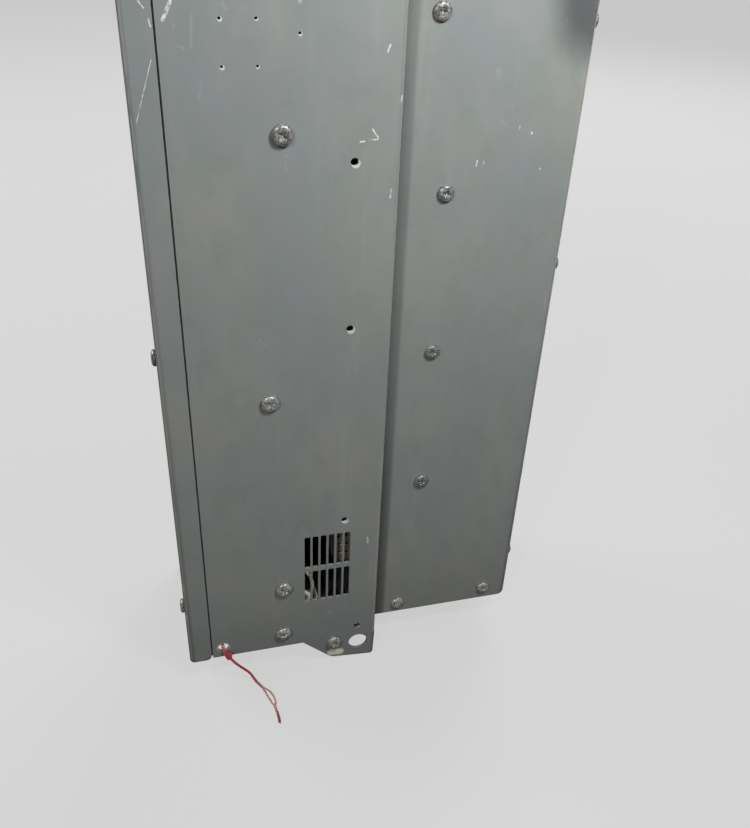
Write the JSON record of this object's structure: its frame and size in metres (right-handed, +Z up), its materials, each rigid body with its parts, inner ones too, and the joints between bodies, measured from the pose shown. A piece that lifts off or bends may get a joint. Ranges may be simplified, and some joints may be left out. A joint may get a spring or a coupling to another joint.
{
  "type": "subpanel enclosure",
  "caption": "Narrow grey sheet-metal subpanel enclosure with a stepped rear wall, mounting tabs, a slotted vent, a hinged door and a breaker stack inside.",
  "frame": {"origin": "middle of the box's footprint, on the surface that the enclosure stands on (level with the lowest point of the bottom tab and of the front frame)", "axes": "+Z up, +Y out of the front with the door, so the pictured rear side faces -Y; +X to the right when looking at the rear side"},
  "size_m": [0.2044, 0.1606, 0.511],
  "materials": {
    "case_paint": "satin grey enamel, scratched",
    "front_paint": "satin grey enamel",
    "dark_steel": "worn dark plating",
    "zinc_steel": "dull zinc plating",
    "black_plastic": "moulded",
    "tinned_bar": "tin plated, dull",
    "breaker_plastic": "moulded thermoset",
    "white_plastic": "moulded",
    "brown_plastic": "moulded",
    "wire_pvc": "extruded PVC",
    "black_rubber": "matt",
    "red_string": "twisted cotton"
  },
  "bodies": {
    "cabinet": {"rear_pan": "case_paint", "right_side_panel": "case_paint", "left_side_panel": "case_paint", "top_plate": "case_paint", "bottom_plate": "case_paint", "seam_strip": "case_paint", "front_frame": "front_paint", "frame_screws": "dark_steel", "rear_screws_large": "dark_steel", "rear_screws_small": "dark_steel", "earth_screw": "dark_steel", "side_screws": "dark_steel", "breaker_pan": "zinc_steel", "pan_spacers": "zinc_steel", "pan_nuts": "zinc_steel", "bus_base": "black_plastic", "bus_bar_a": "tinned_bar", "bus_bar_b": "tinned_bar", "hook_rail": "zinc_steel", "main_breaker": "breaker_plastic", "breaker_1": "breaker_plastic", "breaker_2": "breaker_plastic", "breaker_3": "breaker_plastic", "breaker_4": "breaker_plastic", "breaker_5": "breaker_plastic", "breaker_6": "breaker_plastic", "dead_front": "front_paint", "dead_front_posts": "zinc_steel", "dead_front_screws": "dark_steel", "neutral_bar": "tinned_bar", "neutral_insulators": "white_plastic", "earth_bar": "tinned_bar", "bar_screws": "tinned_bar", "cable_saddle": "zinc_steel", "terminal_block": "white_plastic", "surge_module": "brown_plastic", "bonding_wire": "wire_pvc", "hinge_frame_leaves": "zinc_steel", "hinge_pins": "zinc_steel", "gland_bodies": "black_plastic", "gland_locknuts": "black_plastic", "gland_caps": "black_plastic", "gland_seals": "black_rubber", "tag_string": "red_string", "string_knot": "red_string"},
    "door": {"door": "front_paint", "door_gasket": "black_rubber", "hinge_door_leaves": "zinc_steel", "latch_housing": "black_plastic", "latch_nut": "zinc_steel"},
    "latch": {"latch_knob": "black_plastic", "latch_cam": "zinc_steel"},
    "main_handle": {"main_handle": "breaker_plastic"},
    "handle_1": {"handle_1": "breaker_plastic"},
    "handle_2": {"handle_2": "breaker_plastic"},
    "handle_3": {"handle_3": "breaker_plastic"},
    "handle_4": {"handle_4": "breaker_plastic"},
    "handle_5": {"handle_5": "breaker_plastic"},
    "handle_6": {"handle_6": "breaker_plastic"}
  },
  "joints": [
    {"name": "door_hinge", "type": "hinge", "parent": "cabinet", "child": "door", "pos_m": [0.098, 0.0452, 0.256], "axis": [0, 0, -1], "range_deg": [0, 110]},
    {"name": "latch_turn", "type": "hinge", "parent": "door", "child": "latch", "pos_m": [-0.071, 0.0446, 0.256], "axis": [0, 1, 0], "range_deg": [0, 90]},
    {"name": "main_switch", "type": "hinge", "parent": "cabinet", "child": "main_handle", "pos_m": [-0.043, 0.0166, 0.3648], "axis": [0, 0, -1], "range_deg": [0, 50]},
    {"name": "switch_1", "type": "hinge", "parent": "cabinet", "child": "handle_1", "pos_m": [-0.043, 0.0166, 0.1997], "axis": [0, 0, -1], "range_deg": [0, 50]},
    {"name": "switch_2", "type": "hinge", "parent": "cabinet", "child": "handle_2", "pos_m": [-0.043, 0.0166, 0.2251], "axis": [0, 0, -1], "range_deg": [0, 50]},
    {"name": "switch_3", "type": "hinge", "parent": "cabinet", "child": "handle_3", "pos_m": [-0.043, 0.0166, 0.2505], "axis": [0, 0, -1], "range_deg": [0, 50]},
    {"name": "switch_4", "type": "hinge", "parent": "cabinet", "child": "handle_4", "pos_m": [-0.043, 0.0166, 0.2759], "axis": [0, 0, -1], "range_deg": [0, 50]},
    {"name": "switch_5", "type": "hinge", "parent": "cabinet", "child": "handle_5", "pos_m": [-0.043, 0.0166, 0.3013], "axis": [0, 0, -1], "range_deg": [0, 50]},
    {"name": "switch_6", "type": "hinge", "parent": "cabinet", "child": "handle_6", "pos_m": [-0.043, 0.0166, 0.3267], "axis": [0, 0, -1], "range_deg": [0, 50]}
  ]
}
